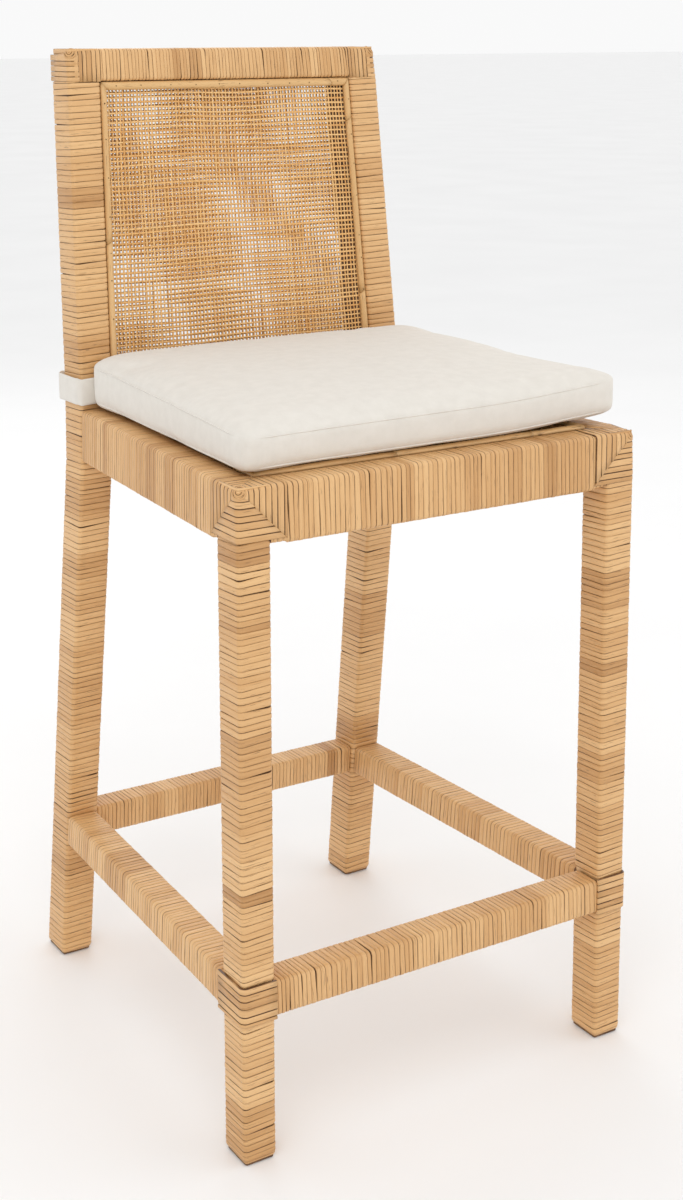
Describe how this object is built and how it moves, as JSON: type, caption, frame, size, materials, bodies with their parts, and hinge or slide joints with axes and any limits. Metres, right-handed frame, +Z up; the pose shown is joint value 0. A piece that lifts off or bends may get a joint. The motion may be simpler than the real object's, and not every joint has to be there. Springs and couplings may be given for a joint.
{
  "type": "counter stool",
  "caption": "Counter stool with a low cane back, a footrest and side stretchers, wrapped in rattan peel, with a boxed linen cushion tied to the back posts.",
  "frame": {"origin": "on the floor, under the middle of the stool's box", "axes": "+Z up, the front faces -Y, +X to the right as seen from the front"},
  "size_m": [0.442, 0.4939, 1],
  "materials": {
    "frame_wood": "sawn hardwood, hidden in the wrapping",
    "rattan_peel": "satin rattan peel, closely wound",
    "cane_webbing": "satin square-mesh cane webbing",
    "half_round_trim": "satin half-round rattan",
    "seat_plywood": "raw plywood",
    "cushion_linen": "plain-weave off-white linen",
    "cushion_foam": "open-cell foam",
    "white_nylon": "matte nylon"
  },
  "bodies": {
    "frame": {"back_cane_front": "cane_webbing", "back_cane_rear": "cane_webbing", "back_panel_frame": "frame_wood", "back_post_core_left": "frame_wood", "back_post_core_right": "frame_wood", "back_post_wrap_left": "rattan_peel", "back_post_wrap_right": "rattan_peel", "back_trim_front_bottom": "half_round_trim", "back_trim_front_left": "half_round_trim", "back_trim_front_right": "half_round_trim", "back_trim_front_top": "half_round_trim", "back_trim_rear_bottom": "half_round_trim", "back_trim_rear_left": "half_round_trim", "back_trim_rear_right": "half_round_trim", "back_trim_rear_top": "half_round_trim", "corner_block_back_left": "frame_wood", "corner_block_back_right": "frame_wood", "corner_block_front_left": "frame_wood", "corner_block_front_right": "frame_wood", "crest_rail_core": "frame_wood", "crest_rail_wrap": "rattan_peel", "foot_glide_back_left": "white_nylon", "foot_glide_back_right": "white_nylon", "foot_glide_front_left": "white_nylon", "foot_glide_front_right": "white_nylon", "front_leg_core_left": "frame_wood", "front_leg_core_right": "frame_wood", "front_leg_wrap_left": "rattan_peel", "front_leg_wrap_right": "rattan_peel", "lower_back_rail_core": "frame_wood", "lower_back_rail_wrap": "rattan_peel", "seat_board": "seat_plywood", "seat_cane": "cane_webbing", "seat_rail_core_back": "frame_wood", "seat_rail_core_front": "frame_wood", "seat_rail_core_left": "frame_wood", "seat_rail_core_right": "frame_wood", "seat_rail_wrap_back": "rattan_peel", "seat_rail_wrap_front": "rattan_peel", "seat_rail_wrap_left": "rattan_peel", "seat_rail_wrap_right": "rattan_peel", "seat_trim_back": "half_round_trim", "seat_trim_front": "half_round_trim", "seat_trim_left": "half_round_trim", "seat_trim_right": "half_round_trim", "strap_fastener": "white_nylon", "strap_left": "cushion_linen", "strap_right": "cushion_linen", "stretcher_core_back": "frame_wood", "stretcher_core_front": "frame_wood", "stretcher_core_left": "frame_wood", "stretcher_core_right": "frame_wood", "stretcher_wrap_back": "rattan_peel", "stretcher_wrap_front": "rattan_peel", "stretcher_wrap_left": "rattan_peel", "stretcher_wrap_right": "rattan_peel"},
    "cushion": {"cushion_cover": "cushion_linen", "cushion_foam": "cushion_foam", "cushion_zip": "white_nylon"}
  },
  "joints": [
    {"name": "cushion_tip", "type": "hinge", "parent": "frame", "child": "cushion", "pos_m": [0, 0.1275, 0.6906], "axis": [-1, 0, 0], "range_deg": [0, 90]}
  ]
}
